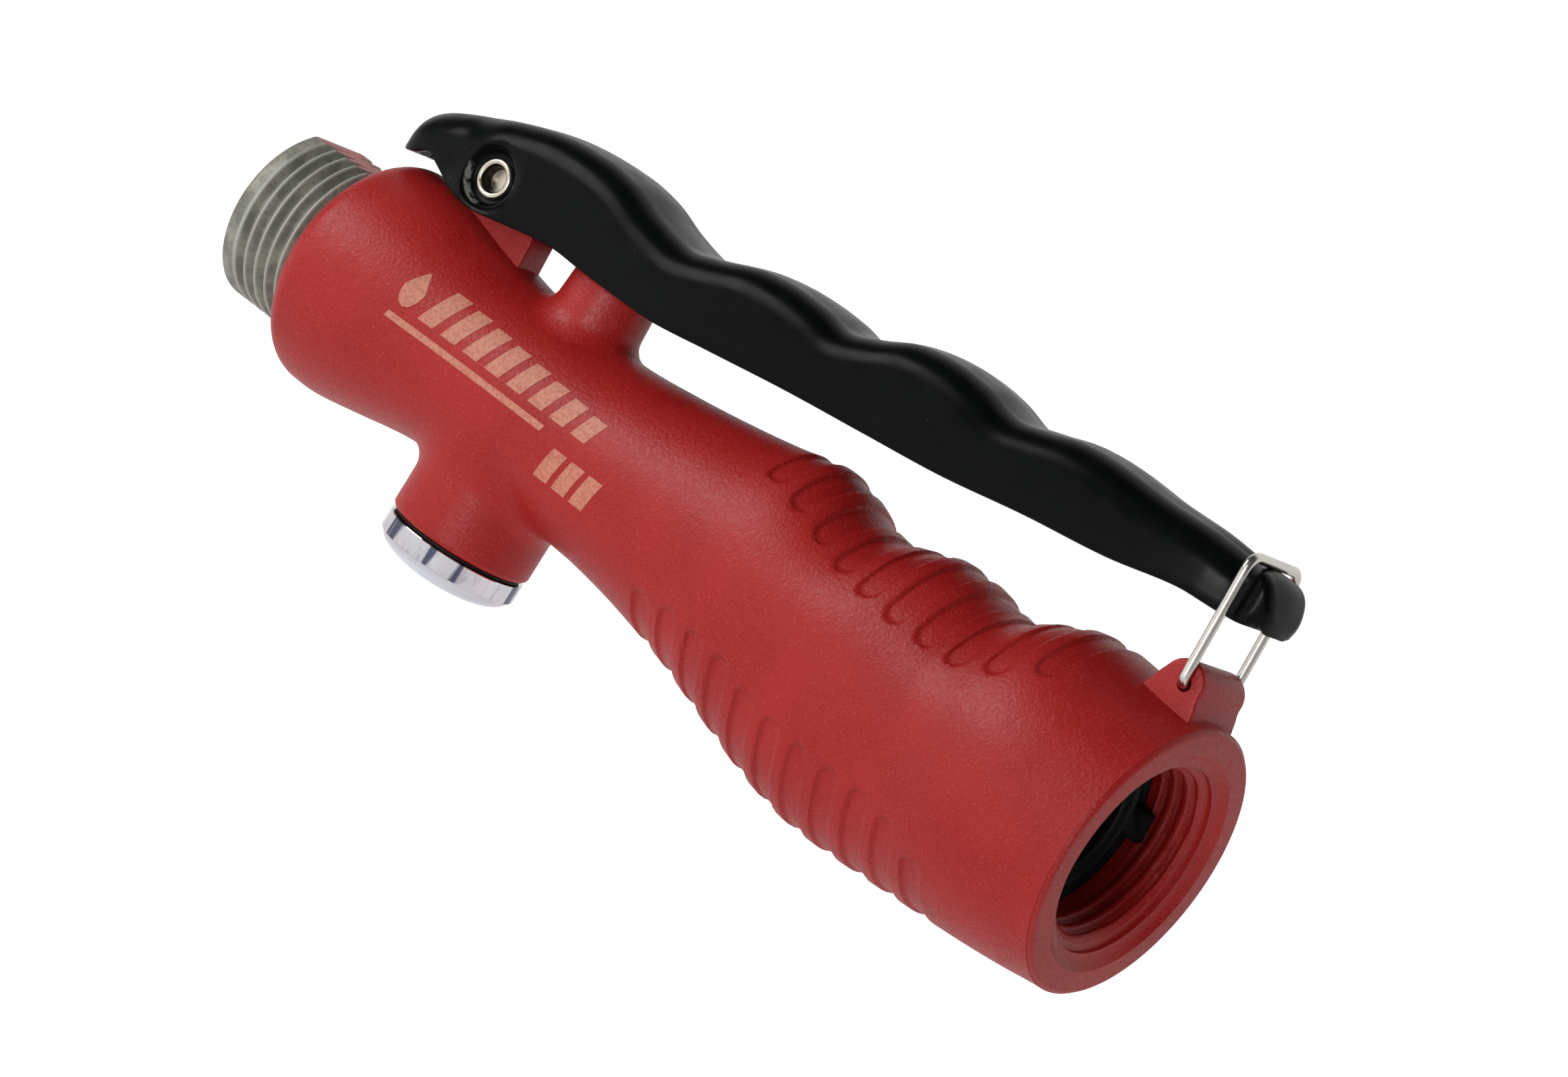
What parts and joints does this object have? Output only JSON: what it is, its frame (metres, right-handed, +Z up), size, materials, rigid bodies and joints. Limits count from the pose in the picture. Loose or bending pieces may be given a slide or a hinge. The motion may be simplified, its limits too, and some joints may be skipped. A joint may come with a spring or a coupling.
{
  "type": "squeeze-lever hose shut-off valve",
  "caption": "Squeeze-lever shut-off valve handle for a garden hose, with threaded spout, wire hold-open bail, capped valve chamber and ribbed barrel grip.",
  "frame": {"origin": "centre of the hose inlet's mouth, on the barrel's axis", "axes": "+X from the spout to the hose inlet and out of its mouth, +Z up to the lever's side, Y across"},
  "size_m": [0.1667, 0.0406, 0.0702],
  "materials": {
    "red_casting": "fine-textured red powder coat on an aluminium casting, bare grey metal on the spout thread",
    "black_coated_lever": "satin black coating",
    "steel_hidden": "turned stainless steel",
    "nickel_rivet": "nickel-plated tubular rivet",
    "stainless_wire": "drawn stainless wire",
    "chrome_cap": "bright chrome plate",
    "black_rubber": "moulded nitrile rubber",
    "nylon": "natural nylon",
    "black_nylon": "black nylon",
    "brass": "machined brass"
  },
  "bodies": {
    "housing": {"body": "red_casting", "valve_cap": "chrome_cap", "cap_gasket": "black_rubber", "spring_cup": "nylon", "valve_spring": "stainless_wire", "seat_ring": "brass", "seat_oring": "black_rubber", "gland_bushing": "brass", "stem_orings": "black_rubber", "gland_wiper": "black_rubber", "hose_washer": "black_rubber", "screen_frame": "brass", "screen_mesh": "stainless_wire"},
    "squeeze_lever": {"lever": "black_coated_lever", "lever_pad": "steel_hidden", "pivot_rivet": "nickel_rivet", "pivot_spacers": "nylon"},
    "plunger": {"valve_stem": "steel_hidden", "poppet": "brass", "seal_disc": "black_rubber", "seal_retainer": "brass", "poppet_nut": "brass", "stem_circlip": "steel_hidden", "stem_button": "black_nylon"},
    "bail": {"wire_bail": "stainless_wire"}
  },
  "joints": [
    {"name": "lever_squeeze", "type": "hinge", "parent": "housing", "child": "squeeze_lever", "pos_m": [-0.1356, 0, 0.0225], "axis": [0, 1, 0], "range_deg": [0, 2.7], "stiffness_Nm_per_rad": 0.6, "springref_deg": -28.65},
    {"name": "plunger_slide", "type": "slide", "parent": "housing", "child": "plunger", "axis": [0, 0, -1], "range_m": [0, 0.00105], "stiffness_N_per_m": 1, "springref_m": -0.045, "deforming": ["valve_spring"]},
    {"name": "bail_swing", "type": "hinge", "parent": "housing", "child": "bail", "pos_m": [-0.0057, 0, 0.0228], "axis": [0, 1, 0], "range_deg": [0, 110]}
  ],
  "couplings": [
    {"joint": "plunger_slide", "follows": "lever_squeeze", "m_per_rad": 0.022}
  ]
}
